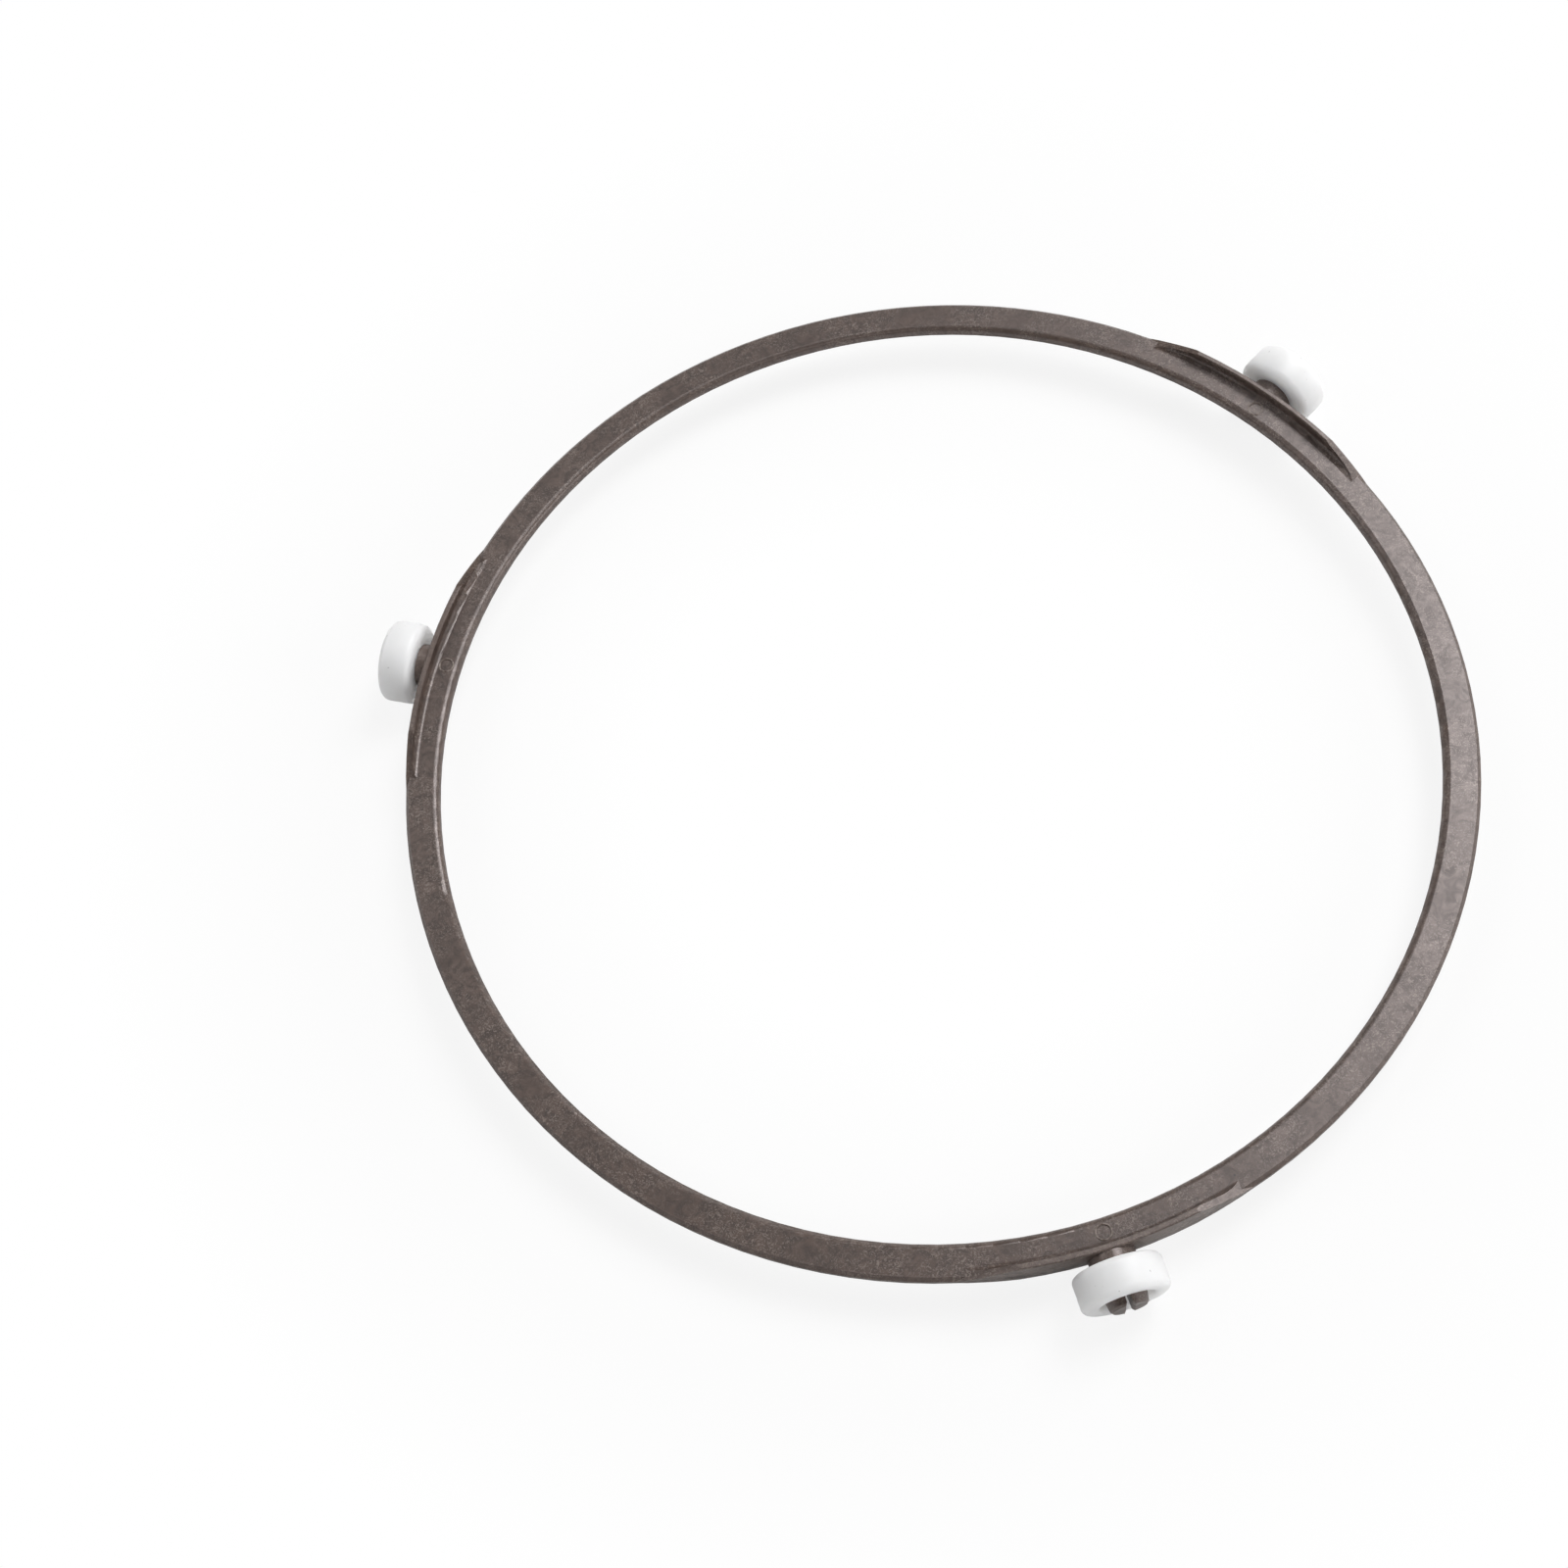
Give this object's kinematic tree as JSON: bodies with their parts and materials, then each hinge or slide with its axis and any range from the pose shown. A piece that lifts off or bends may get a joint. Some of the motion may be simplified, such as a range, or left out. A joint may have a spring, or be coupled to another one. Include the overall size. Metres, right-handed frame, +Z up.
{
  "type": "microwave roller ring",
  "caption": "Flat moulded ring with rollers on radial split snap axles, which carries and guides the turning glass tray of a microwave oven.",
  "frame": {"origin": "the ring's axis at the level that the rollers stand on", "axes": "+Z up along the ring's axis towards the tray, -Y towards roller_1"},
  "size_m": [0.18, 0.1883, 0.0143],
  "materials": {
    "ring_plastic": "satin glass-filled moulding, dark grey-brown",
    "roller_plastic": "smooth satin white"
  },
  "bodies": {
    "ring": {"ring_frame": "ring_plastic"},
    "roller_1": {"roller_1": "roller_plastic"},
    "roller_2": {"roller_2": "roller_plastic"},
    "roller_3": {"roller_3": "roller_plastic"}
  },
  "joints": [
    {"name": "roller_1_spin", "type": "hinge", "parent": "ring", "child": "roller_1", "pos_m": [0, -0.09435, 0.00715], "axis": [0, -1, 0], "continuous": true},
    {"name": "roller_2_spin", "type": "hinge", "parent": "ring", "child": "roller_2", "pos_m": [0.08171, 0.04718, 0.00715], "axis": [0.866, 0.5, 0], "continuous": true},
    {"name": "roller_3_spin", "type": "hinge", "parent": "ring", "child": "roller_3", "pos_m": [-0.08171, 0.04718, 0.00715], "axis": [-0.866, 0.5, 0], "continuous": true}
  ]
}
